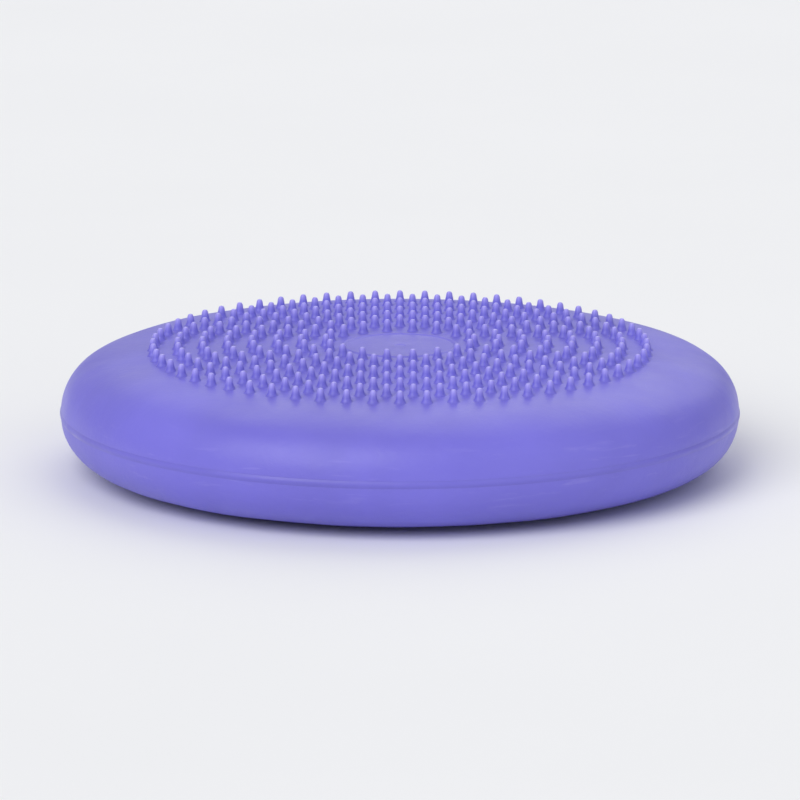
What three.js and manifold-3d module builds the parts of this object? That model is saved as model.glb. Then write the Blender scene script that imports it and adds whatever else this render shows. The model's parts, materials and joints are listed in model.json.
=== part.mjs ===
// Wobble cushion: a round air cushion of soft PVC with a spiked sitting face, a smooth round side wall
// and an underside that stands on flat foot rings. Two half shells are joined by a weld bead at the
// parting plane. The lower one holds the air valve: a barbed socket with a non-return flap behind it,
// a push-in plug, and a strap that keeps the plug.
//
// Millimetres, +Z up. The origin is the middle of the face that the cushion stands on. +Y points at
// the valve, and the person who sits on the cushion faces along X.

import * as THREE from "three";
import { mergeVertices } from "three/addons/utils/BufferGeometryUtils.js";
import Module from "manifold-3d";

// ---------- driving dimensions ----------

// Shells
const cushionRadius = 165; // side wall at the parting plane
const halfHeight = 27.5; // parting plane to the flat of either face
const crownRise = 4; // extra height at the middle of the sitting face
const fullness = 12; // exponent of the wall's curve: higher is squarer
const shellWall = 2.6;
const facets = 48; // around every piece that is turned about the cushion's axis

// Foot rings and centre pad of the underside
const footHeight = 1.2;
const footWidth = 5;
const footRings = [70, 110]; // radii of the middles of the rings
const padRadius = 26;

// Spikes of the sitting face, in rings of six more spikes each
const spikePitch = 12; // ring to ring, and nearly the spacing along a ring
const firstSpikeRing = 3;
const lastSpikeRing = 10;
const spikeHeight = 6;
const spikeRadius = 2.75; // at the foot
const spikeRoot = 0.9; // of the spike's length sunk into the shell
const spikeSides = 4;

// Weld bead
const rebateDepth = 1.6; // cut into each shell's edge for the bead
const rebateHalfHeight = 1.7;
const beadProud = 0.6; // beyond the side wall

// Valve
const fitGap = 0.3; // between pieces that meet
const valveDrop = 11; // below the parting plane
const valveSides = 24;
const pinSides = 10;
const plugHeadRadius = 5.5;
const plugHeadThickness = 1.8;
const plugHeadRecess = 0.1; // the head's face below the wall's surface
const plugStemRadius = 3.2;
const plugRibHeight = 0.5;
const plugNeckRadius = 2.6;
const plugStemLength = 13; // from the head's underside
const plugTipLength = 2.5;
const plugTipRadius = 2.4;
const plugEdgeRound = 0.6;
const eyeletThickness = 1.2;
const flangeRadius = 6.6;
const flangeThickness = 1.5;
const socketWall = 1.5;
const socketLength = 16; // from the flange's face to the inner end
const bossThickness = 3.6; // of shell behind the flange
const bossMargin = 3.2; // of shell round the hole
const barbRadius = 6.2;
const barbLength = 1.4;

// Non-return flap
const flapThickness = 0.8;
const flapOverlap = 1.3; // of the flap past the bore
const flapArmWidth = 2.6;
const hingePinRadius = 0.7;
const hingeEarThickness = 1.4;
const hingeEarMargin = 0.9; // of ear round the pin's hole
const hingeEarRoot = 2; // of ear that overlaps the socket's end, past its round
const hingeStandoff = 0.6; // between the pin's hole and the socket's side

// Strap of the plug
const strapWidth = 3.6;
const strapThickness = 1.2;
const strapReach = 34; // valve axis to the anchor, round the wall
const strapRampStart = 8; // from the valve axis to the foot of the ramp out of the recess
const strapRampEnd = 12.5;
const strapRampSettle = 0.4; // the ramp's top sits this much lower, where the wall curves away
const anchorHeadRadius = 3.4;
const anchorHeadThickness = 1.5;
const anchorPegRadius = 1.5;
const anchorPegLength = 4;

// ---------- sizes that follow ----------

const partingZ = footHeight + halfHeight;
const beadRadius = cushionRadius + beadProud;
const rebateRadius = cushionRadius - rebateDepth;
const innerRadius = cushionRadius - shellWall;
const innerHalfHeight = halfHeight - shellWall;

// The side wall's radius at a height above or below the parting plane.
const wallRadiusAt = (height) =>
  cushionRadius * (1 - (height / halfHeight) ** 2) ** (1 / fullness);

// The wall's outward normal at the valve tilts down by this angle.
const valveRadius = wallRadiusAt(valveDrop);
const valveTilt = Math.atan2(
  (2 * valveDrop) / halfHeight ** 2,
  (fullness * (valveRadius / cushionRadius) ** (fullness - 1)) / cushionRadius,
);

// Depths along the valve's axis, 0 at the wall's surface and positive outwards.
const headTop = -plugHeadRecess;
const headBottom = headTop - plugHeadThickness;
const eyeletTop = headBottom - fitGap;
const eyeletBottom = eyeletTop - eyeletThickness;
const flangeTop = eyeletBottom - fitGap;
const flangeBottom = flangeTop - flangeThickness;
const recessFloor = flangeBottom - fitGap;
const bossBottom = recessFloor - bossThickness;
const barbTop = bossBottom - fitGap;
const socketEnd = flangeTop - socketLength;
const stemEnd = headBottom - plugStemLength;

const boreRadius = plugStemRadius + fitGap;
const socketRadius = boreRadius + socketWall;
const holeRadius = socketRadius + fitGap;
const recessRadius = flangeRadius + fitGap;
const bossRadius = holeRadius + bossMargin;
const eyeletInnerRadius = plugNeckRadius + fitGap;

// ---------- geometry helpers ----------

const wasm = await Module();
wasm.setup();

// A three.js geometry as a manifold-3d solid.
function solid(geometry) {
  const bare = geometry.index ? geometry.toNonIndexed() : geometry.clone();
  bare.deleteAttribute("normal");
  bare.deleteAttribute("uv");
  const merged = mergeVertices(bare, 1e-3);
  return new wasm.Manifold(
    new wasm.Mesh({
      numProp: 3,
      vertProperties: merged.attributes.position.array,
      triVerts: new Uint32Array(merged.index.array),
    }),
  );
}

// A manifold-3d solid as a three.js geometry.
function geometryOf(made) {
  const { vertProperties, triVerts } = made.getMesh();
  const geometry = new THREE.BufferGeometry();
  geometry.setAttribute("position", new THREE.BufferAttribute(vertProperties, 3));
  geometry.setIndex(new THREE.BufferAttribute(triVerts, 1));
  geometry.computeVertexNormals();
  return geometry;
}

const joined = (solids) => solids.reduce((whole, one) => whole.add(one));

// A profile of [radius, height] turned about Z.
function turned(profile, sides) {
  const points = profile.map(([radius, height]) => new THREE.Vector2(radius, height));
  return new THREE.LatheGeometry(points, sides).rotateX(Math.PI / 2);
}

// A round bar along Z, between two heights.
function bar(radius, bottom, top, sides = valveSides) {
  const length = top - bottom;
  const geometry = new THREE.CylinderGeometry(radius, radius, length, sides);
  return geometry.rotateX(Math.PI / 2).translate(0, 0, (bottom + top) / 2);
}

function block([x0, x1], [y0, y1], [z0, z1]) {
  const geometry = new THREE.BoxGeometry(x1 - x0, y1 - y0, z1 - z0);
  return geometry.translate((x0 + x1) / 2, (y0 + y1) / 2, (z0 + z1) / 2);
}

// An outline of [x, z] given a width along Y, centred on the XZ plane.
function slab(outline, width) {
  const shape = new THREE.Shape(outline.map(([x, z]) => new THREE.Vector2(x, z)));
  const geometry = new THREE.ExtrudeGeometry(shape, { depth: width, bevelEnabled: false });
  return geometry.translate(0, 0, -width / 2).rotateX(Math.PI / 2);
}

function piece(name, geometry, material) {
  const mesh = new THREE.Mesh(geometry, material);
  mesh.name = name;
  return mesh;
}

// ---------- places on the side wall ----------

// The valve's frame: X along the wall, Z out of the wall, and -Y up the wall.
const valve = new THREE.Group();
valve.position.set(0, valveRadius, partingZ - valveDrop);
valve.rotation.x = -(Math.PI / 2 + valveTilt);
valve.updateMatrix();

// The same frame where the strap is anchored, on the -X side of the valve.
const anchorTurn = strapReach / valveRadius;
const anchorFrame = new THREE.Matrix4().makeRotationZ(anchorTurn).multiply(valve.matrix);

const atValve = (geometry) => solid(geometry.applyMatrix4(valve.matrix));
const atAnchor = (geometry) => solid(geometry.applyMatrix4(anchorFrame));

// ---------- the shells' profiles ----------

const degrees = (list) => list.map(THREE.MathUtils.degToRad);
const outerSteps = degrees([9, 18, 27, 36, 45, 54, 63, 72, 81]);
const innerSteps = degrees([0, 18, 36, 52, 67, 80]);
const beadSteps = degrees([-60, 0, 60]);
const outerFaceShares = [0.42, 0.21, 0]; // of the radius, for the points of the nearly flat face
const innerFaceShares = [0.35, 0];

// Points up one quarter of the wall's curve, as [radius, height from the parting plane].
const quarter = (steps, radius, height) =>
  steps.map((t) => [radius * Math.cos(t) ** (2 / fullness), height * Math.sin(t)]);

// How far a face lies from the parting plane at a radius.
const faceHeight = (radius, outermost, height) =>
  height * Math.sqrt(1 - (radius / outermost) ** fullness);

const crownAt = (radius) => crownRise * (1 - (radius / cushionRadius) ** 2);

// The stepped edge at the parting plane, from the outside in. side is 1 above and -1 below.
const edge = (side) => [
  [wallRadiusAt(rebateHalfHeight), partingZ + side * rebateHalfHeight],
  [rebateRadius, partingZ + side * rebateHalfHeight],
  [rebateRadius, partingZ],
];

function upperOutside() {
  const wall = quarter(outerSteps, cushionRadius, halfHeight);
  const face = outerFaceShares.map((share) => {
    const radius = share * cushionRadius;
    return [radius, faceHeight(radius, cushionRadius, halfHeight)];
  });
  return [...wall, ...face].map(([r, h]) => [r, partingZ + h + crownAt(r)]);
}

function upperInside() {
  const wall = quarter(innerSteps, innerRadius, innerHalfHeight);
  const face = innerFaceShares.map((share) => {
    const radius = share * innerRadius;
    return [radius, faceHeight(radius, innerRadius, innerHalfHeight)];
  });
  return [...wall, ...face].map(([r, h]) => [r, partingZ + h + crownAt(r) - crownAt(innerRadius)]);
}

function upperProfile() {
  return [...upperInside().reverse(), ...edge(1).reverse(), ...upperOutside()];
}

// The underside's surface between its foot rings.
const undersideAt = (radius) => partingZ - faceHeight(radius, cushionRadius, halfHeight);

// A foot ring's section, from the inside out.
function foot(radius) {
  const inner = radius - footWidth / 2;
  const outer = radius + footWidth / 2;
  return [
    [inner, undersideAt(inner)],
    [inner, 0],
    [outer, 0],
    [outer, undersideAt(outer)],
  ];
}

function lowerOutside() {
  const pad = [
    [0, 0],
    [padRadius, 0],
    [padRadius, undersideAt(padRadius)],
  ];
  const outermostFoot = Math.max(...footRings) + footWidth / 2;
  const wall = quarter(outerSteps, cushionRadius, halfHeight)
    .filter(([r]) => r > outermostFoot)
    .reverse()
    .map(([r, h]) => [r, partingZ - h]);
  return [...pad, ...footRings.flatMap(foot), ...wall];
}

function lowerInside() {
  const wall = quarter(innerSteps, innerRadius, innerHalfHeight);
  return [...wall, [0, innerHalfHeight]].map(([r, h]) => [r, partingZ - h]);
}

function lowerProfile() {
  return [...lowerOutside(), ...edge(-1), ...lowerInside()];
}

// ---------- upper shell ----------

// Rings of spikes, each with six more than the ring inside it.
function spikes() {
  const made = [];
  for (let ring = firstSpikeRing; ring <= lastSpikeRing; ring++) {
    const radius = ring * spikePitch;
    const count = 6 * ring;
    const foot = partingZ + faceHeight(radius, cushionRadius, halfHeight) + crownAt(radius);
    for (let k = 0; k < count; k++) {
      const turn = (k / count) * 2 * Math.PI;
      const cone = new THREE.ConeGeometry(spikeRadius, spikeHeight + spikeRoot, spikeSides);
      cone.rotateX(Math.PI / 2).translate(radius, 0, foot + (spikeHeight - spikeRoot) / 2);
      made.push(solid(cone.rotateZ(turn)));
    }
  }
  return made;
}

function upperShell() {
  return joined([solid(turned(upperProfile(), facets)), ...spikes()]);
}

// ---------- weld bead ----------

// A ring that fills both shells' rebates, with a rounded outer face.
function weldBead() {
  const inner = rebateRadius + fitGap;
  const half = rebateHalfHeight - fitGap;
  const outer = beadSteps.map((t) => [
    cushionRadius + beadProud * Math.cos(t),
    partingZ + half * Math.sin(t),
  ]);
  const section = [
    [inner, partingZ - half],
    [cushionRadius, partingZ - half],
    ...outer,
    [cushionRadius, partingZ + half],
    [inner, partingZ + half],
    [inner, partingZ - half],
  ];
  return turned(section, facets);
}

// ---------- lower shell ----------

// The channel that the strap climbs, from the recess to the wall's surface.
function strapChannel() {
  const room = 2 * fitGap;
  const floor = eyeletBottom - room;
  const end = -(strapRampEnd + strapThickness + room);
  return slab(
    [
      [0, floor],
      [-(strapRampStart + room), floor],
      [end, fitGap - room],
      [end, halfHeight],
      [0, halfHeight],
    ],
    strapWidth + 2 * room,
  );
}

function lowerShell() {
  const outside = solid(turned([...lowerOutside(), ...edge(-1), [0, partingZ]], facets));
  const clear = halfHeight; // well past either side of the wall
  const channelBoss = block(
    [-(strapRampEnd + shellWall), 0],
    [-(strapWidth / 2 + shellWall), strapWidth / 2 + shellWall],
    [eyeletBottom - shellWall, 0],
  );
  const pegEnd = -(anchorPegLength + fitGap);
  const bosses = joined([
    atValve(bar(bossRadius, bossBottom, 0)),
    atValve(channelBoss),
    atAnchor(bar(anchorPegRadius + shellWall, pegEnd - shellWall / 2, 0)),
  ]);
  const cuts = joined([
    atValve(bar(recessRadius, recessFloor, clear)),
    atValve(bar(holeRadius, bossBottom - shellWall, clear)),
    atValve(strapChannel()),
    atAnchor(bar(anchorPegRadius + fitGap, pegEnd, clear)),
  ]);
  const shell = solid(turned(lowerProfile(), facets));
  return shell.add(bosses.intersect(outside)).subtract(cuts);
}

// ---------- valve socket ----------

const pinY = -(socketRadius + hingePinRadius + fitGap + hingeStandoff); // up the wall
const pinZ = socketEnd - fitGap - flapThickness / 2;
const earInside = flapArmWidth / 2 + fitGap;
const earOutside = earInside + hingeEarThickness;
const pinHoleRadius = hingePinRadius + fitGap;

// An ear is round below its pin, so that the flap can swing past it, and square above.
function hingeEar(side) {
  const across = [side * earInside, side * earOutside].sort((a, b) => a - b);
  const reach = pinHoleRadius + hingeEarMargin;
  const round = bar(reach, ...across, pinSides).rotateY(Math.PI / 2).translate(0, pinY, pinZ);
  const web = block(across, [pinY - reach, -boreRadius], [pinZ, socketEnd + hingeEarRoot]);
  return joined([solid(round), solid(web)]);
}

function valveSocket() {
  const body = turned(
    [
      [boreRadius, flangeTop],
      [boreRadius, socketEnd],
      [socketRadius, socketEnd],
      [socketRadius, barbTop - barbLength],
      [barbRadius, barbTop],
      [socketRadius, barbTop],
      [socketRadius, flangeBottom],
      [flangeRadius, flangeBottom],
      [flangeRadius, flangeTop],
      [boreRadius, flangeTop],
    ],
    valveSides,
  );
  const bore = solid(bar(boreRadius, socketEnd - socketLength, flangeTop + socketWall));
  const flapRoom = solid(bar(boreRadius + flapOverlap + fitGap, socketEnd - socketLength, socketEnd));
  const pinHole = bar(pinHoleRadius, -earOutside - fitGap, earOutside + fitGap, pinSides);
  const pinBore = solid(pinHole.rotateY(Math.PI / 2).translate(0, pinY, pinZ));
  const made = joined([solid(body), hingeEar(-1), hingeEar(1)]);
  return made.subtract(joined([bore, flapRoom, pinBore]));
}

// ---------- non-return flap ----------

function checkFlap() {
  const top = pinZ + flapThickness / 2;
  const bottom = pinZ - flapThickness / 2;
  const disc = solid(bar(boreRadius + flapOverlap, bottom, top));
  const halfArm = flapArmWidth / 2;
  const arm = solid(block([-halfArm, halfArm], [pinY, 0], [bottom, top]));
  const pin = bar(hingePinRadius, -earOutside, earOutside, pinSides);
  return joined([disc, arm, solid(pin.rotateY(Math.PI / 2).translate(0, pinY, pinZ))]);
}

// ---------- plug ----------

// A head with rounded edges, a neck for the strap's eyelet, and a stem with two sealing ribs.
function valvePlug() {
  const waist = plugStemRadius - plugRibHeight;
  const neckEnd = eyeletBottom - fitGap / 2;
  const sealing = neckEnd - (stemEnd + plugTipLength);
  const ribs = [waist, plugStemRadius, waist, plugStemRadius, waist].map((radius, k, all) => [
    radius,
    neckEnd - (sealing * (k + 0.5)) / all.length,
  ]);
  return turned(
    [
      [0, stemEnd],
      [plugTipRadius, stemEnd],
      [waist, stemEnd + plugTipLength],
      ...ribs.reverse(),
      [plugStemRadius, neckEnd],
      [plugNeckRadius, neckEnd],
      [plugNeckRadius, headBottom],
      [plugHeadRadius, headBottom],
      [plugHeadRadius, headTop - plugEdgeRound],
      [plugHeadRadius - plugEdgeRound, headTop],
      [0, headTop],
    ],
    valveSides,
  );
}

// ---------- strap of the plug ----------

// The eyelet round the plug's neck, the ramp out of the recess, the run round the wall to the anchor,
// and the anchor's head and peg.
function plugTether() {
  const eyelet = turned(
    [
      [eyeletInnerRadius, eyeletTop],
      [eyeletInnerRadius, eyeletBottom],
      [plugHeadRadius, eyeletBottom],
      [plugHeadRadius, eyeletTop],
      [eyeletInnerRadius, eyeletTop],
    ],
    valveSides,
  );
  const eyeletWidth = plugHeadRadius - eyeletInnerRadius;
  const rampInner = -(eyeletInnerRadius + eyeletWidth / 3);
  const rampOuter = -(strapRampEnd + strapThickness);
  const runTop = fitGap + strapThickness - strapRampSettle;
  const ramp = slab(
    [
      [rampInner, eyeletBottom],
      [rampInner, eyeletTop],
      [-strapRampStart + strapThickness / 2, eyeletTop],
      [-strapRampEnd + strapThickness / 2, runTop],
      [rampOuter, runTop],
      [rampOuter, runTop - strapThickness],
      [-strapRampEnd, runTop - strapThickness],
      [-strapRampStart, eyeletBottom],
    ],
    strapWidth,
  );
  const anchorHead = turned(
    [
      [0, fitGap],
      [anchorHeadRadius, fitGap],
      [anchorHeadRadius, fitGap + anchorHeadThickness / 2],
      [anchorHeadRadius / 2, fitGap + anchorHeadThickness],
      [0, fitGap + anchorHeadThickness],
    ],
    valveSides,
  );
  const peg = bar(anchorPegRadius, -anchorPegLength, fitGap + anchorHeadThickness / 2, pinSides);
  return joined([
    atValve(eyelet),
    atValve(ramp),
    strapRun(),
    atAnchor(anchorHead),
    atAnchor(peg),
  ]);
}

// The part of the strap that lies round the wall: a sector of a ring whose section follows the wall.
function strapRun() {
  const [cos, sin] = [Math.cos(valveTilt), Math.sin(valveTilt)];
  const corner = (up, out) => [
    valveRadius + up * sin + out * cos,
    partingZ - valveDrop + up * cos - out * sin,
  ];
  const half = strapWidth / 2;
  const inner = fitGap;
  const outer = fitGap + strapThickness;
  const ring = turned(
    [
      corner(-half, inner),
      corner(-half, outer),
      corner(half, outer),
      corner(half, inner),
      corner(-half, inner),
    ],
    facets * 4,
  );
  const anchorX = -valveRadius * Math.sin(anchorTurn);
  const sector = block([anchorX, -strapRampEnd], [0, beadRadius * 2], [0, partingZ]);
  return solid(ring).intersect(solid(sector));
}

// ---------- materials and assembly ----------

const shellPvc = new THREE.MeshStandardMaterial({ color: 0x7a70d2, roughness: 0.45, metalness: 0 });
const valvePvc = new THREE.MeshStandardMaterial({ color: 0xd9dbe0, roughness: 0.4, metalness: 0 });
const plugPlastic = new THREE.MeshStandardMaterial({ color: 0xf0f0ee, roughness: 0.35, metalness: 0 });
const flapRubber = new THREE.MeshStandardMaterial({ color: 0x3a3a40, roughness: 0.6, metalness: 0 });

// Pieces made in the cushion's own frame are placed as they are, and the others sit in the valve's.
const cushion = new THREE.Group();
cushion.add(
  piece("lower_shell", geometryOf(lowerShell()), shellPvc),
  piece("upper_shell", geometryOf(upperShell()), shellPvc),
  piece("weld_bead", weldBead(), shellPvc),
  piece("plug_tether", geometryOf(plugTether()), plugPlastic),
  valve,
);
valve.add(
  piece("valve_socket", geometryOf(valveSocket()), valvePvc),
  piece("check_flap", geometryOf(checkFlap()), flapRubber),
  piece("valve_plug", valvePlug(), plugPlastic),
);

export default cushion;
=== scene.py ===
# Wobble cushion: a round air cushion of soft PVC with a spiked sitting face and a plugged air valve.
# Laid out as an add-on and run as a script. Metres, +Z up, +Y towards the valve. The valve's own
# frame has Z out of the wall, X along the wall and -Y up the wall.

import json
import math
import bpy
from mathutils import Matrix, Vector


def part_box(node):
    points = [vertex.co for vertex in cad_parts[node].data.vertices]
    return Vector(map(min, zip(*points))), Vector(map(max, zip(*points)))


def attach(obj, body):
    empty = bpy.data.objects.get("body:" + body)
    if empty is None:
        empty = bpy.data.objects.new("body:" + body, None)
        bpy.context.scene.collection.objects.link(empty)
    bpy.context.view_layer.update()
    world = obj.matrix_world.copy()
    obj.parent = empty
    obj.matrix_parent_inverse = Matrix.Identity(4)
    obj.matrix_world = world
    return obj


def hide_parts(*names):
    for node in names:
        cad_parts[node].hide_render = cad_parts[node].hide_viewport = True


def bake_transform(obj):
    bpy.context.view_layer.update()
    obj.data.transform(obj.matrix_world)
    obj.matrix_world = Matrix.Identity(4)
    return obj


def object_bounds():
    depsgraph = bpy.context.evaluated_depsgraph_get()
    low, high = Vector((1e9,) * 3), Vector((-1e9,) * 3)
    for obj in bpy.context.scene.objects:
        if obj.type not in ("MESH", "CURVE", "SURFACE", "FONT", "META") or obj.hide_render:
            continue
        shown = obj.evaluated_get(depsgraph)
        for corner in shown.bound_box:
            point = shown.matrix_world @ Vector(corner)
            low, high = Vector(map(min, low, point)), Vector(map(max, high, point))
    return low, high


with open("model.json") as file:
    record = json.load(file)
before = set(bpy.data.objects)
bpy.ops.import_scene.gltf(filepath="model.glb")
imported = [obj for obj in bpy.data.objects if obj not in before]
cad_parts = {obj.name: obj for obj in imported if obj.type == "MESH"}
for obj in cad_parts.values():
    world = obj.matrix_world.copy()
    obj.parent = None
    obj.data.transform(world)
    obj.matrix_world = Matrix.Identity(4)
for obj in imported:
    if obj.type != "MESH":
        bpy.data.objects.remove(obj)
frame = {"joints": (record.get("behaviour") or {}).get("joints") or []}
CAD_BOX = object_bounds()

from types import SimpleNamespace

import bmesh
import bpy
from bpy.props import FloatProperty, FloatVectorProperty, IntProperty, PointerProperty
from bpy.types import Operator, Panel, PropertyGroup
from mathutils import Matrix, Vector, noise

bl_info = {
    "name": "Wobble Cushion",
    "version": (1, 0, 0),
    "blender": (4, 5, 0),
    "location": "3D View > Sidebar > Cushion",
    "description": "Makes an inflated balance cushion piece by piece",
    "category": "Object",
}

JOINTS = {joint["name"]: joint for joint in frame["joints"]}
FULL_TURN = 2 * math.pi
SMOOTH_ANGLE = math.radians(38)
MERGE = 1e-6
SLIVER = 4e-6  # edges shorter than this are left over from joining and cutting
SKIN_STEPS, VALVE_STEPS, PIN_STEPS = 256, 64, 24  # sides of the turned pieces
GATE_EDGE, GATE_FLOOR, GATE_DEPTH = 0.0036, 0.0022, 0.0004  # the dimple in the middle of the top
BOSS_DEPTH = 0.0036  # wall behind the flange's recess
HINGE_ROOM = 0.0006  # from the barrel to the flap's pin, besides the gap
FADE_AT_FACES = (0.128, 0.142)  # radii between which the wall's waves grow to full depth
FADE_AT_BEAD = (0.0018, 0.008)  # the same, above and below the parting plane
FADE_AT_VALVE = (0.045, 0.07)  # the same, from the valve
WAVE_SCALE = 26  # of the noise that makes the waves

# ---------- sizes and colours that a user may change ----------


def length(name, description, default):
    return FloatProperty(
        name=name, description=description, default=default, unit="LENGTH", subtype="DISTANCE", precision=5
    )


def colour(name, description, red, green, blue):
    """A colour given in the 0 to 255 numbers of a colour picker."""
    shares = [value / 255 for value in (red, green, blue)]
    linear = [s / 12.92 if s <= 0.04045 else ((s + 0.055) / 1.055) ** 2.4 for s in shares]
    return FloatVectorProperty(
        name=name, description=description, default=linear, subtype="COLOR", min=0, max=1
    )


class ShellSizes(PropertyGroup):
    """The two skins, the weld bead and the spikes."""

    radius: length("Radius", "Side wall at the parting plane", round(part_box("upper_shell")[1].x, 3))
    parting: length("Parting height", "Parting plane above the floor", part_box("lower_shell")[1].z)
    half_height: length("Half height", "Parting plane to the flat of either face", 0.0275)
    crown: length("Crown", "Extra height at the middle of the sitting face", 0.004)
    fullness: FloatProperty(name="Fullness", description="Exponent of the wall's curve", default=12)
    wall: length("Wall", "Thickness of the skins", 0.0026)
    rebate_depth: length("Rebate depth", "Step in each skin's edge for the weld bead", 0.0016)
    rebate_height: length("Rebate height", "Height of that step", 0.0017)
    bead_proud: length("Bead proud", "Weld bead beyond the side wall", 0.0004)
    bead_spread: length("Bead spread", "Melted edge of the bead over each skin", 0.0006)
    pad_radius: length("Pad radius", "Flat centre pad of the underside", 0.026)
    foot_width: length("Foot width", "Width of each foot ring", 0.005)
    foot_inner: length("Inner foot", "Radius of the inner foot ring", 0.070)
    foot_outer: length("Outer foot", "Radius of the outer foot ring", 0.110)
    edge_round: length("Edge round", "Rounding of the pad's and the feet's corners", 0.0004)
    rim_round: length("Rim round", "Rounding of the skins' edges at the weld bead", 0.00022)
    ring_radius: length("Centre ring", "Radius of the raised ring round the smooth middle", 0.0275)
    ring_height: length("Centre ring height", "Height of that ring", 0.0007)
    ring_width: length("Centre ring width", "Width of that ring", 0.0036)
    spike_pitch: length("Spike pitch", "From ring to ring", 0.012)
    spike_height: length("Spike height", "Height over the face", 0.006)
    first_ring: IntProperty(name="First ring", description="Innermost ring of spikes", default=3)
    last_ring: IntProperty(name="Last ring", description="Outermost ring of spikes", default=10)
    unevenness: length("Unevenness", "Depth of the inflated wall's slow waves", 0.00022)


class ValveSizes(PropertyGroup):
    """The socket, its flap, the plug and the strap."""

    gap: length("Gap", "Between pieces that meet", 0.0003)
    drop: length("Drop", "Valve axis below the parting plane, at the wall", 0.011)
    head_radius: length("Head radius", "Plug's head", 0.0055)
    head_thickness: length("Head thickness", "Plug's head", 0.0018)
    stem_radius: length("Stem radius", "Plug's stem at its ribs", 0.0032)
    neck_radius: length("Neck radius", "Plug's neck inside the strap's eyelet", 0.0026)
    stem_length: length("Stem length", "From the head's underside", 0.013)
    strap_width: length("Strap width", "Strap of the plug", 0.0036)
    strap_thickness: length("Strap thickness", "Strap of the plug", 0.0012)
    strap_reach: length("Strap reach", "Valve axis to the anchor, round the wall", 0.034)
    stud_radius: length("Stud radius", "Stud that holds the strap, at its peg", 0.0015)
    stud_head: length("Stud head", "Radius of the stud's head", 0.0034)
    flange_radius: length("Flange radius", "Socket's flange", 0.0066)
    flange_thickness: length("Flange thickness", "Socket's flange", 0.0015)
    socket_wall: length("Socket wall", "Socket's barrel", 0.0015)
    socket_length: length("Socket length", "From the flange's face to the inner end", 0.016)
    flap_thickness: length("Flap thickness", "Non-return flap", 0.0008)
    pin_radius: length("Pin radius", "Flap's hinge pin", 0.0007)


class CushionColours(PropertyGroup):
    """Colours of the pieces and of the floor."""

    skin: colour("Skin", "Soft PVC of the two skins", 117, 110, 212)
    # Also used, a shade paler again, for the painted highlight on the spikes' tips.
    skin_pale: colour("Worn skin", "Where the skin is rubbed", 158, 151, 226)
    plug: colour("Plug", "Plug and strap", 232, 231, 224)
    socket: colour("Socket", "Valve socket", 108, 98, 190)
    flap: colour("Flap", "Non-return flap", 44, 44, 48)
    floor: colour("Floor", "Floor of the stage", 243, 243, 244)


# ---------- the wall's curve ----------


def wall_radius(shell, height):
    """The side wall's radius at a height above or below the parting plane."""
    return shell.radius * (1 - (height / shell.half_height) ** 2) ** (1 / shell.fullness)


def face_height(shell, radius):
    """How far either face lies from the parting plane at a radius."""
    return shell.half_height * math.sqrt(max(0, 1 - (radius / shell.radius) ** shell.fullness))


def crown_height(shell, radius):
    return shell.crown * (1 - (radius / shell.radius) ** 2)


def sitting_face(shell, radius):
    """Height of the sitting face above the floor."""
    return shell.parting + face_height(shell, radius) + crown_height(shell, radius)


def centre_relief(shell, radius):
    """Extra height in the smooth middle of the sitting face: a raised ring, and the dimple that the
    mould's gate leaves."""
    share = abs(radius - shell.ring_radius) / (shell.ring_width / 2)
    ring = shell.ring_height * math.cos(share * math.pi / 2) ** 2 if share < 1 else 0
    return ring - GATE_DEPTH * smooth_step(-radius, -GATE_EDGE, -GATE_FLOOR)


def smooth_step(value, low, high):
    share = min(1, max(0, (value - low) / (high - low)))
    return share * share * (3 - 2 * share)


def quarter_wall(shell, steps, inset=0.0, from_height=0.0):
    """(radius, height) points up one quarter of the wall's curve, a wall's thickness in if asked."""
    radius, height = shell.radius - inset, shell.half_height - inset
    start, end = math.asin(from_height / height), math.radians(85)
    for step in range(steps + 1):
        turn = start + (end - start) * step / steps
        yield radius * math.cos(turn) ** (2 / shell.fullness), height * math.sin(turn)


# ---------- the valve's place ----------


def valve_layout(scene):
    """Frames and depths of the valve. Depths run along its axis, 0 at the wall, positive outwards."""
    shell, valve = scene.cushion_shell, scene.cushion_valve
    axis, gap = Vector(JOINTS["plug_pull"]["axis"]), valve.gap
    tilt = math.atan2(-axis.z, axis.y)
    place = SimpleNamespace(reach=wall_radius(shell, valve.drop))
    place.frame = Matrix.Translation((0, place.reach, shell.parting - valve.drop))
    place.frame = place.frame @ Matrix.Rotation(-(math.pi / 2 + tilt), 4, "X")
    place.head_top = -gap / 3
    place.head_bottom = place.head_top - valve.head_thickness
    place.eyelet_top = place.head_bottom - gap
    place.eyelet_bottom = place.eyelet_top - valve.strap_thickness
    place.flange_top = place.eyelet_bottom - gap
    place.flange_bottom = place.flange_top - valve.flange_thickness
    place.recess_floor = place.flange_bottom - gap
    place.boss_bottom = place.recess_floor - BOSS_DEPTH
    place.socket_end = place.flange_top - valve.socket_length
    place.stem_end = place.head_bottom - valve.stem_length
    place.bore = valve.stem_radius + gap
    place.barrel = place.bore + valve.socket_wall
    place.recess = valve.flange_radius + gap
    place.pin_y = -(place.barrel + valve.pin_radius + gap + HINGE_ROOM)
    place.pin_z = place.socket_end - gap - valve.flap_thickness / 2
    return place


def round_wall(place, x):
    """The valve's frame carried round the wall by x."""
    return Matrix.Rotation(-x / place.reach, 4, "Z") @ place.frame


def wall_under(shell, place, x, y):
    """Depth of the wall's surface below the valve's own plane, at x and y in that plane. It is found by
    halving a range that starts well inside the wall and ends just outside it."""
    low, high, halvings = -0.02, 0.002, 30
    for _ in range(halvings):
        middle = (low + high) / 2
        point = place.frame @ Vector((x, y, middle))
        share = (math.hypot(point.x, point.y) / shell.radius) ** shell.fullness
        outside = share + ((point.z - shell.parting) / shell.half_height) ** 2 > 1
        low, high = (low, middle) if outside else (middle, high)
    return low


# ---------- mesh helpers ----------


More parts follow.
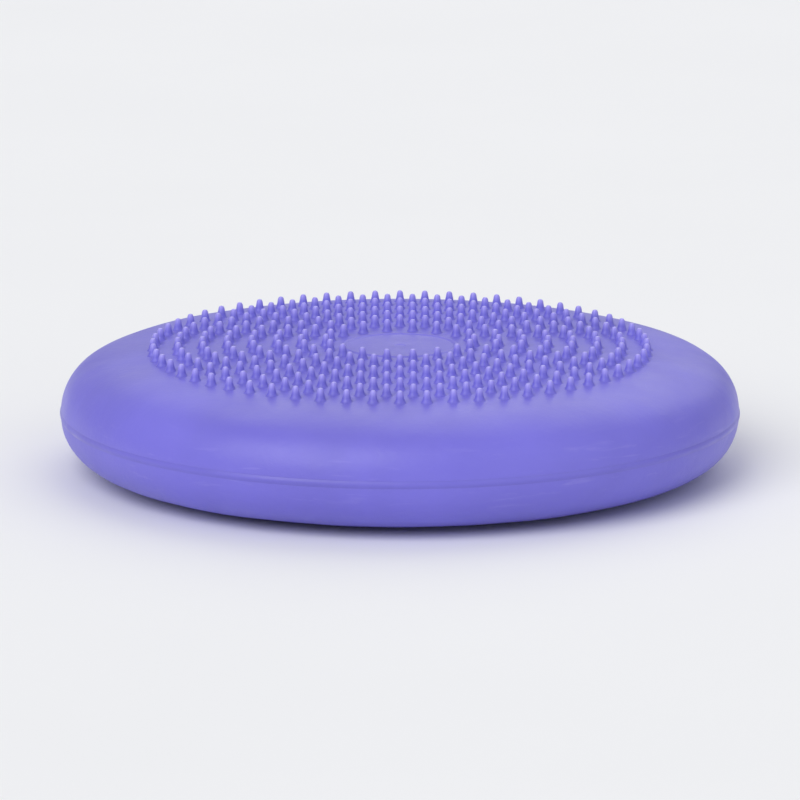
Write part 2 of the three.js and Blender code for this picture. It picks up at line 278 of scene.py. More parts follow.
def wire(mesh, points, closed=False):
    """Vertices and edges through (radius, height) points, in the XZ plane."""
    verts = [mesh.verts.new((radius, 0, height)) for radius, height in points]
    pairs = list(zip(verts, verts[1:])) + ([(verts[-1], verts[0])] if closed else [])
    return verts, [mesh.edges.new(pair) for pair in pairs]


def rounded(mesh, geometry, affect, offset, segments):
    """Rounds the mesh's edges, or the corners of a profile."""
    bmesh.ops.bevel(
        mesh,
        geom=geometry,
        offset=offset,
        offset_type="OFFSET",
        segments=segments,
        profile=0.5,
        affect=affect,
        material=-1,
    )


def spin(mesh, geometry, angle, steps, centre=(0, 0, 0), **options):
    """Turns geometry about an upright axis."""
    bmesh.ops.spin(mesh, geom=geometry, cent=centre, axis=(0, 0, 1), angle=angle, steps=steps, **options)


def turned(points, steps, closed=False, corners=(), corner_round=0.0):
    """A profile turned about Z. The corners, given by their place in the list, are rounded first."""
    mesh = bmesh.new()
    verts, _ = wire(mesh, points, closed)
    if corners:
        rounded(mesh, [verts[k] for k in corners], "VERTICES", corner_round, 3)
    spin(mesh, list(mesh.verts) + list(mesh.edges), FULL_TURN, steps, use_merge=True)
    tidy(mesh)
    return mesh


def tidy(mesh):
    bmesh.ops.remove_doubles(mesh, verts=mesh.verts, dist=MERGE)
    bmesh.ops.recalc_face_normals(mesh, faces=mesh.faces)


def block(low, high, edge_round=0.0, segments=3):
    """A box between two corners, with its edges rounded."""
    mesh = bmesh.new()
    centre = [(a + b) / 2 for a, b in zip(low, high)]
    size = [b - a for a, b in zip(low, high)]
    place = Matrix.Translation(centre) @ Matrix.Diagonal((*size, 1))
    bmesh.ops.create_cube(mesh, size=1, matrix=place)
    if edge_round:
        rounded(mesh, mesh.edges, "EDGES", edge_round, segments)
    return mesh


def slab(outline, low, high):
    """An outline of (x, z) points, drawn out along Y."""
    mesh = bmesh.new()
    side = mesh.faces.new([mesh.verts.new((x, low, z)) for x, z in outline])
    grown = bmesh.ops.extrude_face_region(mesh, geom=[side])
    moved = [item for item in grown["geom"] if isinstance(item, bmesh.types.BMVert)]
    bmesh.ops.translate(mesh, verts=moved, vec=(0, high - low, 0))
    bmesh.ops.recalc_face_normals(mesh, faces=mesh.faces)
    return mesh


def cylinder(radius, bottom, top, sides=48):
    mesh = bmesh.new()
    place = Matrix.Translation((0, 0, (bottom + top) / 2))
    bmesh.ops.create_cone(
        mesh,
        cap_ends=True,
        segments=sides,
        radius1=radius,
        radius2=radius,
        depth=top - bottom,
        matrix=place,
    )
    return mesh


def placed(mesh, *matrices):
    """The mesh moved by each matrix in turn, the last first."""
    for matrix in reversed(matrices):
        bmesh.ops.transform(mesh, matrix=matrix, verts=mesh.verts)
    return mesh


def piece(name, mesh, material=None):
    """A finished object from a bmesh, which is freed."""
    data = bpy.data.meshes.new(name)
    mesh.to_mesh(data)
    mesh.free()
    made = bpy.data.objects.new(name, data)
    bpy.context.scene.collection.objects.link(made)
    if material:
        data.materials.append(material)
    shade(made)
    return made


def shade(made):
    made.data.shade_smooth()
    made.data.set_sharp_from_angle(angle=SMOOTH_ANGLE)


def coat(made, material):
    """Gives a piece its material, in place of the slots that joining left."""
    made.data.materials.clear()
    made.data.materials.append(material)


def combine(made, operation, tools):
    """Joins the tools to a piece, or cuts them from it, and removes them."""
    for k, mesh in enumerate(tools):
        tool = piece(f"{made.name}_tool_{k}", mesh)
        step = made.modifiers.new("combine", "BOOLEAN")
        step.operation = operation
        step.object = tool
        step.solver = "EXACT"
        depsgraph = bpy.context.evaluated_depsgraph_get()
        result = bpy.data.meshes.new_from_object(made.evaluated_get(depsgraph))
        made.modifiers.clear()
        old, made.data = made.data, result
        bpy.data.meshes.remove(old)
        bpy.data.objects.remove(tool)
    mesh = bmesh.new()
    mesh.from_mesh(made.data)
    bmesh.ops.remove_doubles(mesh, verts=mesh.verts, dist=SLIVER)
    bmesh.ops.dissolve_degenerate(mesh, edges=mesh.edges, dist=SLIVER)
    mesh.to_mesh(made.data)
    mesh.free()
    shade(made)
    return made


def inflate_unevenly(shell, place, mesh):
    """Slow waves in the outer face of a skin's side wall, fading out at the bead, valve, feet and spikes."""
    mesh.normal_update()
    valve_point = place.frame.translation
    moves = []
    for vert in mesh.verts:
        radius = math.hypot(vert.co.x, vert.co.y)
        height = abs(vert.co.z - shell.parting)
        on_outside = Vector((vert.co.x, vert.co.y, 0)).dot(vert.normal) > 0 or vert.normal.z > 0.5
        share = smooth_step(radius, *FADE_AT_FACES) * smooth_step(height, *FADE_AT_BEAD)
        share *= smooth_step((vert.co - valve_point).length, *FADE_AT_VALVE)
        if on_outside and share:
            wave = noise.fractal(vert.co * WAVE_SCALE, 0.8, 2.0, 2) * shell.unevenness
            moves.append((vert, vert.normal * wave * share))
    for vert, move in moves:
        vert.co += move


# ---------- materials ----------


def new_material(name, base, roughness, scattering=0.0, scatter_depth=0.002):
    material = bpy.data.materials.new(name)
    material.use_nodes = True
    tree = material.node_tree
    shader = tree.nodes["Principled BSDF"]
    shader.inputs["Base Color"].default_value = (*base, 1)
    shader.inputs["Roughness"].default_value = roughness
    shader.inputs["Subsurface Weight"].default_value = scattering
    shader.inputs["Subsurface Radius"].default_value = (0.8, 0.6, 1.0)
    shader.inputs["Subsurface Scale"].default_value = scatter_depth
    coords = tree.nodes.new("ShaderNodeTexCoord").outputs["Object"]
    return material, shader, coords


def feed(value, node, name):
    """Links a socket to a node's input."""
    value.id_data.links.new(value, node.inputs[name])


def new_node(value, kind, name):
    """A node in the tree that a socket is in, with the socket linked to one of its inputs."""
    node = value.id_data.nodes.new(kind)
    feed(value, node, name)
    return node


def mottle(coords, scale, detail=2.0, distortion=0.0, squeeze=None):
    """Noise of a given scale, as a factor. squeeze packs it closer along each axis, into streaks."""
    if squeeze:
        mapping = new_node(coords, "ShaderNodeMapping", "Vector")
        mapping.inputs["Scale"].default_value = squeeze
        coords = mapping.outputs["Vector"]
    node = new_node(coords, "ShaderNodeTexNoise", "Vector")
    node.inputs["Scale"].default_value = scale
    node.inputs["Detail"].default_value = detail
    node.inputs["Distortion"].default_value = distortion
    return node.outputs["Fac"]


def remap(value, low, high, to_low=0.0, to_high=1.0):
    node = new_node(value, "ShaderNodeMapRange", "Value")
    for name, number in zip(("From Min", "From Max", "To Min", "To Max"), (low, high, to_low, to_high)):
        node.inputs[name].default_value = number
    return node.outputs["Result"]


def calculate(operation, first, second):
    """A sum, product or other of a socket and a second one or a number."""
    node = new_node(first, "ShaderNodeMath", 0)
    node.operation = operation
    if isinstance(second, (int, float)):
        node.inputs[1].default_value = second
    else:
        feed(second, node, 1)
    return node.outputs["Value"]


def mix_colour(factor, first, second):
    """From the first colour to the second, each a socket or (red, green, blue)."""
    tree = factor.id_data
    node = tree.nodes.new("ShaderNodeMix")
    node.data_type = "RGBA"
    feed(factor, node, "Factor")
    for name, value in (("A", first), ("B", second)):
        target = next(s for s in node.inputs if s.name == name and s.type == "RGBA")
        if isinstance(value, bpy.types.NodeSocket):
            tree.links.new(value, target)
        else:
            target.default_value = (*value, 1)
    return next(s for s in node.outputs if s.type == "RGBA")


def emboss(height, distance, strength=1.0, under=None):
    """Bump of a height in metres, over another bump's normal if given."""
    node = new_node(height, "ShaderNodeBump", "Height")
    node.inputs["Distance"].default_value = distance
    node.inputs["Strength"].default_value = strength
    if under:
        feed(under, node, "Normal")
    return node.outputs["Normal"]


def tinted(base, gain):
    return [min(1, channel * gain) for channel in base]


def add_pvc_grain(shader, coords, gloss=(0.33, 0.5)):
    """The finish that all the soft PVC shares: fine grain over orange peel and slow waves, and patchy
    gloss."""
    patches = mottle(coords, 28, 4)
    feed(remap(patches, 0.3, 0.7, *gloss), shader, "Roughness")
    waves = emboss(mottle(coords, 45, 1), 0.0006, strength=0.4)
    peel = emboss(mottle(coords, 330, 1), 0.00022, strength=0.5, under=waves)
    grain = emboss(mottle(coords, 1400, 3), 0.00012, strength=0.7, under=peel)
    feed(grain, shader, "Normal")


def mottled_base(coords, base):
    """Slightly uneven colour, as pigment that is not fully mixed leaves."""
    clouds = remap(mottle(coords, 14, 5, 0.5), 0.32, 0.68)
    return mix_colour(clouds, tinted(base, 0.93), tinted(base, 1.06))


def skin_material(colours):
    """The skins' satin PVC, rubbed paler on the feet and a little along the widest part of the wall. It
    is made once and shared."""
    if "soft_pvc_skin" in bpy.data.materials:
        return bpy.data.materials["soft_pvc_skin"]
    material, shader, coords = new_material("soft_pvc_skin", colours.skin, 0.42, 0.12, 0.003)
    base = mottled_base(coords, colours.skin)
    split = new_node(coords, "ShaderNodeSeparateXYZ", "Vector")
    height = split.outputs["Z"]
    foot_low, foot_high = 0.0002, 0.0012
    on_feet = remap(height, foot_low, foot_high, 0.55, 0)
    rubbing = remap(mottle(coords, 420, 5, 0.3), 0.38, 0.72)
    paling = calculate("MULTIPLY", on_feet, rubbing)
    widest, full_to, none_from = 0.029, 0.005, 0.02
    from_middle = calculate("ABSOLUTE", calculate("SUBTRACT", height, widest), 0)
    on_wall = remap(from_middle, full_to, none_from, 0.3, 0)
    streaks = remap(mottle(coords, 42, 6, 0.4, squeeze=(1, 1, 7)), 0.6, 0.74)
    paling = calculate("MAXIMUM", paling, calculate("MULTIPLY", on_wall, streaks))
    feed(mix_colour(paling, base, colours.skin_pale), shader, "Base Color")
    add_pvc_grain(shader, coords)
    return material


def spike_material(colours):
    """The same PVC, a little glossier, and painted paler towards the tips: a painted highlight where the
    light catches them.
    """
    material, shader, coords = new_material("soft_pvc_spikes", colours.skin, 0.4, 0.18, 0.003)
    base = mottled_base(coords, colours.skin)
    # Painted highlight: the colour turns paler up towards each spike's tip, standing in for the light the
    # tips catch.
    tip = material.node_tree.nodes.new("ShaderNodeAttribute")
    tip.attribute_name = "tip"
    paling = remap(tip.outputs["Fac"], 0.35, 0.95)
    paler = mix_colour(paling, base, tinted(colours.skin_pale, 1.15))
    feed(paler, shader, "Base Color")
    add_pvc_grain(shader, coords, (0.32, 0.44))
    return material


def bead_material(colours):
    """The same PVC melted by the weld: a shade deeper and glossier, with fine ripples."""
    material, shader, coords = new_material("welded_pvc", colours.skin, 0.34, 0.1, 0.002)
    base = mottled_base(coords, tinted(colours.skin, 0.93))
    feed(base, shader, "Base Color")
    patches = mottle(coords, 90, 2)
    feed(remap(patches, 0.3, 0.7, 0.3, 0.44), shader, "Roughness")
    ripples = emboss(mottle(coords, 380, 3), 0.00008, 0.5)
    feed(ripples, shader, "Normal")
    return material


def hard_pvc(name, base, gloss):
    """Injection-moulded PVC of the valve: smooth, with faint flow marks and a little handling grime."""
    material, shader, coords = new_material(name, base, gloss, 0.15, 0.0015)
    clouds = remap(mottle(coords, 110, 3, 0.8), 0.45, 0.7)
    grime = mix_colour(clouds, base, tinted(base, 0.86))
    feed(grime, shader, "Base Color")
    patches = remap(mottle(coords, 300, 3), 0.3, 0.7, gloss, gloss + 0.13)
    feed(patches, shader, "Roughness")
    flow = emboss(mottle(coords, 700, 2, 0.6), 0.00005, 0.5)
    feed(flow, shader, "Normal")
    return material


def flap_rubber(colours):
    """Thin black rubber with a talc bloom."""
    material, shader, coords = new_material("flap_rubber", colours.flap, 0.6)
    bloom = remap(mottle(coords, 900, 4), 0.5, 0.75, 0, 0.5)
    feed(mix_colour(bloom, colours.flap, (0.2, 0.2, 0.21)), shader, "Base Color")
    feed(emboss(mottle(coords, 1200, 3), 0.00008, 0.6), shader, "Normal")
    return material


# ---------- the skins ----------


def rebate(shell, side, inset):
    """The stepped edge at the parting plane, from the outside in. side is 1 above and -1 below."""
    return [
        (wall_radius(shell, shell.rebate_height), shell.parting + side * shell.rebate_height),
        (shell.radius - shell.rebate_depth, shell.parting + side * shell.rebate_height),
        (shell.radius - shell.rebate_depth, shell.parting),
        (shell.radius - inset, shell.parting),
    ]


def radii_between(outer, inner, pitch):
    """Radii from just inside the outer one down to the inner one, evenly spaced."""
    count = max(1, math.ceil((outer - inner) / pitch))
    return [outer + (inner - outer) * k / count for k in range(1, count + 1)]


def chamber_side(shell):
    """(radius, height) points of half the chamber, from the parting plane to the middle of its face."""
    wall = list(quarter_wall(shell, 14, shell.wall))[1:]
    radius, height = shell.radius - shell.wall, shell.half_height - shell.wall
    face = radii_between(wall[-1][0], 0, 0.018)
    return wall + [(r, height * math.sqrt(1 - (r / radius) ** shell.fullness)) for r in face]


def upper_profile(shell):
    """From the middle of the chamber's ceiling, out and down to the edge, and back up over the outside."""
    sink = crown_height(shell, shell.radius - shell.wall)
    inside = [(r, shell.parting + h + crown_height(shell, r) - sink) for r, h in chamber_side(shell)]
    wall = list(quarter_wall(shell, 40, 0, shell.rebate_height))
    ring_edge = shell.ring_radius + shell.ring_width / 2
    ring_foot = shell.ring_radius - shell.ring_width / 2
    coarse, on_ring, in_gate = 0.008, 0.0003, 0.0004
    radii = radii_between(wall[-1][0], ring_edge, coarse)
    radii += radii_between(ring_edge, ring_foot, on_ring) + radii_between(ring_foot, GATE_EDGE, coarse)
    radii += radii_between(GATE_EDGE, 0, in_gate)
    outside = [(r, shell.parting + h + crown_height(shell, r)) for r, h in wall[1:]]
    outside += [(r, sitting_face(shell, r) + centre_relief(shell, r)) for r in radii]
    return inside[::-1], rebate(shell, 1, shell.wall)[::-1], outside


def underside(shell, radius):
    return shell.parting - face_height(shell, radius)


def foot(shell, middle):
    """A foot ring's section, from the inside out."""
    inner, outer = middle - shell.foot_width / 2, middle + shell.foot_width / 2
    return [(inner, underside(shell, inner)), (inner, 0), (outer, 0), (outer, underside(shell, outer))]


def lower_profile(shell):
    """From the middle of the pad, out over the feet and up the wall, and back over the chamber's floor.
    Returns the points and the places in the list of the feet's corners."""
    points, corners = [(0, 0)], []
    between_feet, past_feet, clear = 0.009, 0.006, 0.001
    pad = [(shell.pad_radius, 0), (shell.pad_radius, underside(shell, shell.pad_radius))]
    for section in (pad, foot(shell, shell.foot_inner), foot(shell, shell.foot_outer)):
        if points[-1][0]:
            between = radii_between(section[0][0], points[-1][0], between_feet)[-2::-1]
            points += [(r, underside(shell, r)) for r in between]
        corners += range(len(points), len(points) + len(section))
        points += section
    wall = [(r, shell.parting - h) for r, h in quarter_wall(shell, 40, 0, shell.rebate_height)]
    start = min(r for r, _ in wall)
    between = radii_between(start, points[-1][0], past_feet)[-2::-1]
    points += [(r, underside(shell, r)) for r in between if r > points[-1][0] + clear]
    points += wall[:0:-1] + rebate(shell, -1, shell.wall)
    points += [(r, shell.parting - h) for r, h in chamber_side(shell)]
    return points, corners


class CUSHION_OT_upper_skin(Operator):
    """Make the upper skin: the sitting face and the upper half of the side wall"""

    bl_idname = "cushion.upper_skin"
    bl_label = "Upper skin"

    def execute(self, context):
        scene = context.scene
        shell, place = scene.cushion_shell, valve_layout(scene)
        inside, edge, outside = upper_profile(shell)
        rim = len(inside) + len(edge) - 1
        mesh = turned(inside + edge + outside, SKIN_STEPS, corners=[rim], corner_round=shell.rim_round)
        inflate_unevenly(shell, place, mesh)
        made = piece("upper_skin", mesh, skin_material(scene.cushion_colours))
        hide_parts("upper_shell")
        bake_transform(made)
        return {"FINISHED"}


def spike_profile(shell):
    """A round-tipped spike that flares into the face, as (radius, height) points from its sunk foot."""
    tall, sunk = shell.spike_height, -0.0004
    return [
        (0, sunk),
        (0.0035, sunk),
        (0.0028, 0.00025),
        (0.00225, 0.19 * tall),
        (0.0018, 0.5 * tall),
        (0.0015, 0.8 * tall),
        (0.001, 0.95 * tall),
        (0, tall),
    ]


def spike_ring(mesh, shell, ring):
    """One ring of spikes, with six more than the ring inside it. One is turned and the rest copied."""
    radius, count, sides = ring * shell.spike_pitch, 6 * ring, 10
    foot_point = Vector((radius, 0, sitting_face(shell, radius)))
    before = set(mesh.verts)
    verts, edges = wire(mesh, spike_profile(shell))
    bmesh.ops.translate(mesh, verts=verts, vec=foot_point)
    spin(mesh, verts + edges, FULL_TURN, sides, foot_point, use_merge=True)
    own = [v for v in mesh.verts if v not in before]
    bmesh.ops.remove_doubles(mesh, verts=own, dist=MERGE)
    own = [v for v in mesh.verts if v not in before]
    step = FULL_TURN / count
    faces = list({face for vert in own for face in vert.link_faces})
    edges = list({edge for vert in own for edge in vert.link_edges})
    spin(mesh, own + edges + faces, step * (count - 1), count - 1, use_duplicate=True)


class CUSHION_OT_spikes(Operator):
    """Make the rings of spikes on the sitting face"""

    bl_idname = "cushion.spikes"
    bl_label = "Spikes"

    def execute(self, context):
        shell = context.scene.cushion_shell
        mesh = bmesh.new()
        for ring in range(shell.first_ring, shell.last_ring + 1):
            spike_ring(mesh, shell, ring)
        bmesh.ops.recalc_face_normals(mesh, faces=mesh.faces)
        made = piece("sitting_spikes", mesh, spike_material(context.scene.cushion_colours))
        tips = made.data.attributes.new("tip", "FLOAT", "POINT")
        for vert, tip in zip(made.data.vertices, tips.data):
            face = sitting_face(shell, math.hypot(vert.co.x, vert.co.y))
            tip.value = (vert.co.z - face) / shell.spike_height
        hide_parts("upper_shell")
        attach(made, "top")
        return {"FINISHED"}


def valve_bosses(place, valve):
    """Thick places inside the wall: behind the flange, under the strap's channel and at its anchor."""
    round_hole, round_channel = 0.0032, 0.0026  # PVC left round each
    boss_top, channel_top, anchor_top = -0.002, -0.0012, -0.001  # inside the skin's thickness
    channel_end, anchor_radius, anchor_bottom = -0.015, 0.0041, -0.0056
    boss = cylinder(place.barrel + valve.gap + round_hole, place.boss_bottom, boss_top)
    half = valve.strap_width / 2 + round_channel
    floor = place.eyelet_bottom - round_channel
    channel = block((channel_end, -half, floor), (0, half, channel_top))
    anchor = cylinder(anchor_radius, anchor_bottom, anchor_top)
    return [
        placed(boss, place.frame),
        placed(channel, place.frame),
        placed(anchor, round_wall(place, -valve.strap_reach)),
    ]


def strap_channel(place, valve):
    """The groove that the strap climbs, from the recess to the wall's surface."""
    room = 2 * valve.gap
    half = valve.strap_width / 2 + room
    floor = place.eyelet_bottom - room
    foot_x, end_x, outside = -0.0086, -0.0143, 0.014
    outline = [(0, floor), (foot_x, floor), (end_x, -valve.gap), (end_x, outside), (0, outside)]
    return slab(outline, -half, half)


def valve_cuts(place, valve):
    """The flange's recess, the barrel's hole, the strap's channel and the anchor's hole."""
    outside, past_boss = 0.02, 0.0026
    anchor_radius, anchor_bottom = 0.0018, -0.0043
    recess = cylinder(place.recess, place.recess_floor, outside, 96)
    hole = cylinder(place.barrel + valve.gap, place.boss_bottom - past_boss, outside, VALVE_STEPS)
    anchor = cylinder(anchor_radius, anchor_bottom, outside)
    return [
        placed(recess, place.frame),
        placed(hole, place.frame),
        placed(strap_channel(place, valve), place.frame),
        placed(anchor, round_wall(place, -valve.strap_reach)),
    ]


def follow_lower_skin(made):
    """Bakes a piece's placement into its mesh."""
    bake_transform(made)


class CUSHION_OT_lower_skin(Operator):
    """Make the lower skin: the lower half of the side wall, the feet, and the valve's recess"""

    bl_idname = "cushion.lower_skin"
    bl_label = "Lower skin"

    def execute(self, context):
        scene = context.scene
        shell, valve, place = scene.cushion_shell, scene.cushion_valve, valve_layout(scene)
        points, corners = lower_profile(shell)
        mesh = turned(points, SKIN_STEPS, corners=corners, corner_round=shell.edge_round)
        inflate_unevenly(shell, place, mesh)
        made = piece("lower_skin", mesh, skin_material(scene.cushion_colours))
        combine(made, "UNION", valve_bosses(place, valve))
        combine(made, "DIFFERENCE", valve_cuts(place, valve))
        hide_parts("lower_shell")
        follow_lower_skin(made)
        return {"FINISHED"}


class CUSHION_OT_valve_lip(Operator):
    """Make the raised lip round the valve's recess, open where the strap leaves it"""

    bl_idname = "cushion.valve_lip"
    bl_label = "Valve lip"

    def execute(self, context):
        scene = context.scene
        shell, place = scene.cushion_shell, valve_layout(scene)
        thick, opening, fade, sides = 0.0007, math.radians(52), 0.12, 12
        radius = place.recess + thick
        mesh = bmesh.new()
        around = [FULL_TURN * k / sides for k in range(sides)]
        points = [(radius + thick * math.cos(a), thick * math.sin(a)) for a in around]
        verts, edges = wire(mesh, points, closed=True)
        turn = Matrix.Rotation(math.pi + opening / 2, 3, "Z")
        bmesh.ops.rotate(mesh, cent=(0, 0, 0), matrix=turn, verts=verts)
        spin(mesh, verts + edges, FULL_TURN - opening, 72)
        bmesh.ops.holes_fill(mesh, edges=[edge for edge in mesh.edges if edge.is_boundary])
        tidy(mesh)
        for vert in mesh.verts:
            angle = abs(abs(math.atan2(vert.co.y, vert.co.x)) - math.pi)
            taper = 0.2 + 0.8 * smooth_step(angle, opening / 2, opening / 2 + fade)
            vert.co.z = vert.co.z * taper + wall_under(shell, place, vert.co.x, vert.co.y)
        made = piece("valve_lip", placed(mesh, place.frame), skin_material(scene.cushion_colours))
        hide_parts("lower_shell")
        follow_lower_skin(made)
        return {"FINISHED"}


class CUSHION_OT_weld_bead(Operator):
    """Make the weld bead between the two skins"""

    bl_idname = "cushion.weld_bead"
    bl_label = "Weld bead"

    def execute(self, context):
        shell = context.scene.cushion_shell
        clear, sink, steps = 0.00004, 0.00008, 6
        half, inner = shell.rebate_height - clear, shell.radius - shell.rebate_depth + clear
        spread, mouth = shell.rebate_height + shell.bead_spread, shell.radius - 0.0003
        face = []
        for k in range(-steps, steps + 1):
            height = spread * k / steps
            rise = (shell.bead_proud + sink) * math.cos(k / steps * math.pi / 2) ** 2
            face.append((wall_radius(shell, height) - sink + rise, shell.parting + height))
        below = [(inner, shell.parting - half), (mouth, shell.parting - half)]
        above = [(mouth, shell.parting + half), (inner, shell.parting + half)]
        points = [*below, *face, *above]
        mesh = turned(points, SKIN_STEPS, closed=True)
        for vert in mesh.verts:
            proud = math.hypot(vert.co.x, vert.co.y) - shell.radius
            if proud > 0:
                outwards = Vector((vert.co.x, vert.co.y, 0)).normalized()
                vert.co += outwards * noise.noise(vert.co * 40) * proud * 0.4  # uneven by up to 40%
        made = piece("weld_bead_fine", mesh, bead_material(context.scene.cushion_colours))
        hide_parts("weld_bead")
        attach(made, "seam")
        return {"FINISHED"}


# ---------- the valve ----------


def along_pin(x, y, z):
    """Turns Z to lie along the flap's pin, and moves to a point."""
    return Matrix.Translation((x, y, z)) @ Matrix.Rotation(math.pi / 2, 4, "Y")


class CUSHION_OT_valve_socket(Operator):
    """Make the valve socket, with its flange, barb and hinge ears"""

    bl_idname = "cushion.valve_socket"
    bl_label = "Valve socket"

    def execute(self, context):
        scene = context.scene
        valve, place = scene.cushion_valve, valve_layout(scene)
        barb_radius, barb_height, barb_top = 0.0062, 0.0014, place.boss_bottom - valve.gap
        points = [
            (place.bore, place.flange_top),
            (place.bore, place.socket_end),
            (place.barrel, place.socket_end),
            (place.barrel, barb_top - barb_height),
            (barb_radius, barb_top),
            (place.barrel, barb_top),
            (place.barrel, place.flange_bottom),
            (valve.flange_radius, place.flange_bottom),
            (valve.flange_radius, place.flange_top),
        ]
        corners = [0, 1, 2, 7, 8]
        mesh = turned(points, VALVE_STEPS, closed=True, corners=corners, corner_round=0.0003)
        made = piece("socket_fine", placed(mesh, place.frame))
        combine(made, "UNION", self.hinge_ears(place))
        pin_hole = cylinder(valve.pin_radius + valve.gap, -0.004, 0.004, PIN_STEPS)
        across = along_pin(0, place.pin_y, place.pin_z)
        combine(made, "DIFFERENCE", [placed(pin_hole, place.frame, across)])
        coat(made, hard_pvc("socket_pvc", scene.cushion_colours.socket, 0.32))
        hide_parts("valve_socket")
        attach(made, "base")
        return {"FINISHED"}

    def hinge_ears(self, place):
        """Two round ears that hold the flap's pin, each on a web that joins it to the barrel's end."""
        ear_radius, thick, apart = 0.0019, 0.0007, 0.0023
        back, end = place.pin_y - 0.0018, place.socket_end
        beside_flap, inside_barrel = -(place.bore + 0.0016), -(place.bore + 0.0003)
        step, top = end + 0.0001, end + 0.002
        outline = [
            (back, place.pin_z),
            (beside_flap, place.pin_z),
            (beside_flap, step),
            (inside_barrel, step),
            (inside_barrel, top),
            (back, top),
        ]
        ears = []
        for side in (-1, 1):
            middle = side * apart
            at_side = along_pin(middle, place.pin_y, place.pin_z)
            ears.append(placed(cylinder(ear_radius, -thick, thick, 32), place.frame, at_side))
            web = slab(outline, middle - thick, middle + thick)
            ears.append(placed(web, place.frame, Matrix.Rotation(math.pi / 2, 4, "Z")))
        return ears


class CUSHION_OT_check_flap(Operator):
    """Make the non-return flap, with its arm and hinge pin"""

    bl_idname = "cushion.check_flap"
    bl_label = "Non-return flap"

    def execute(self, context):
        scene = context.scene
        valve, place = scene.cushion_valve, valve_layout(scene)
        radius, half = place.bore + 0.0013, valve.flap_thickness / 2
        points = [(0, -half), (radius, -half), (radius, half), (0, half)]
        disc = turned(points, VALVE_STEPS, corners=[1, 2], corner_round=0.00025)
        at_end = place.frame @ Matrix.Translation((0, 0, place.pin_z))
        made = piece("flap_fine", placed(disc, at_end))
        arm_thick, arm_wide, arm_end = half - 0.00006, 0.0013, -0.001
        low, high = (-arm_wide, place.pin_y, -arm_thick), (arm_wide, arm_end, arm_thick)
        arm = block(low, high, 0.0002, 2)
        pin = cylinder(valve.pin_radius, -0.003, 0.003, PIN_STEPS)
        across = along_pin(0, place.pin_y, 0)
        combine(made, "UNION", [placed(arm, at_end), placed(pin, at_end, across)])
        coat(made, flap_rubber(scene.cushion_colours))
        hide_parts("check_flap")
        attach(made, "flap")
        return {"FINISHED"}


class CUSHION_OT_plug(Operator):
    """Make the push-in plug, with its dished head, nail ridge, neck and ribbed stem"""

    bl_idname = "cushion.plug"
    bl_label = "Plug"

    def execute(self, context):
        scene = context.scene
        valve, place = scene.cushion_valve, valve_layout(scene)
        waist, tip_radius = valve.stem_radius - 0.0005, 0.0024
        neck_end = place.eyelet_bottom - valve.gap / 2
        tip = place.stem_end + 0.0025
        ribs, steps = 2, 20
        stem = []
        for k in range(steps + 1):
            share = k / steps
            swell = 0.5 - 0.5 * math.cos(share * ribs * FULL_TURN)
            stem.append((waist + (valve.stem_radius - waist) * swell, tip + (neck_end - tip) * share))
        top, bottom, head = place.head_top, place.head_bottom, valve.head_radius
        dish = top - 0.0005
        points = [
            (0, place.stem_end),
            (tip_radius, place.stem_end),
            *stem,
            (valve.neck_radius, neck_end),
            (valve.neck_radius, bottom),
            (head, bottom),
            (head, top - 0.0002),
            (head - 0.001, top + 0.0003),
            (head - 0.0019, top),
            (head - 0.0024, dish),
            (0, dish),
        ]
        corners = [1, len(points) - 6, len(points) - 5, len(points) - 4, len(points) - 2]
        mesh = turned(points, 72, corners=corners, corner_round=0.00025)
        made = piece("plug_fine", placed(mesh, place.frame))
        long, thick, edge_round = 0.0022, 0.0005, 0.0003
        ridge = block((-long, -thick, top - 0.0009), (long, thick, top + 0.0004), edge_round)
        combine(made, "UNION", [placed(ridge, place.frame)])
        coat(made, hard_pvc("plug_pvc", scene.cushion_colours.plug, 0.3))
        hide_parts("valve_plug")
        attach(made, "plug")
        return {"FINISHED"}


def strap_band(place, valve):
    """The flat of the strap: level with the eyelet inside the recess, then up to the wall and along it.
    It is a hair thinner than the eyelets, so that no two faces that are joined lie in one plane."""
    half, thick, parts = valve.strap_width / 2, valve.strap_thickness, 60
    start, end = -valve.strap_reach, -(valve.neck_radius + valve.gap + 0.0009)
    flat = thick / 2 - 0.00003
    mesh = block((start, -half, -flat), (end, half, flat), 0.0003, 2)
    for k in range(1, parts):
        geometry = list(mesh.verts) + list(mesh.edges) + list(mesh.faces)
        at = start + (end - start) * k / parts
        bmesh.ops.bisect_plane(mesh, geom=geometry, plane_co=(at, 0, 0), plane_no=(1, 0, 0))
    in_recess = (place.eyelet_top + place.eyelet_bottom) / 2
    on_wall = thick / 2 + valve.gap / 3
    climb_start, climb_end = 0.0078, 0.0132
    for vert in mesh.verts:
        climb = smooth_step(-vert.co.x, climb_start, climb_end)
        level = in_recess + (on_wall - in_recess) * climb
        vert.co = round_wall(place, vert.co.x) @ Vector((0, vert.co.y, vert.co.z + level))
    bmesh.ops.recalc_face_normals(mesh, faces=mesh.faces)
    return mesh


def eyelet(inner, outer, bottom, top):
    """A flat ring with rounded edges."""
    ring = [(inner, top), (inner, bottom), (outer, bottom), (outer, top)]
    return turned(ring, VALVE_STEPS, closed=True, corners=range(4), corner_round=0.0003)


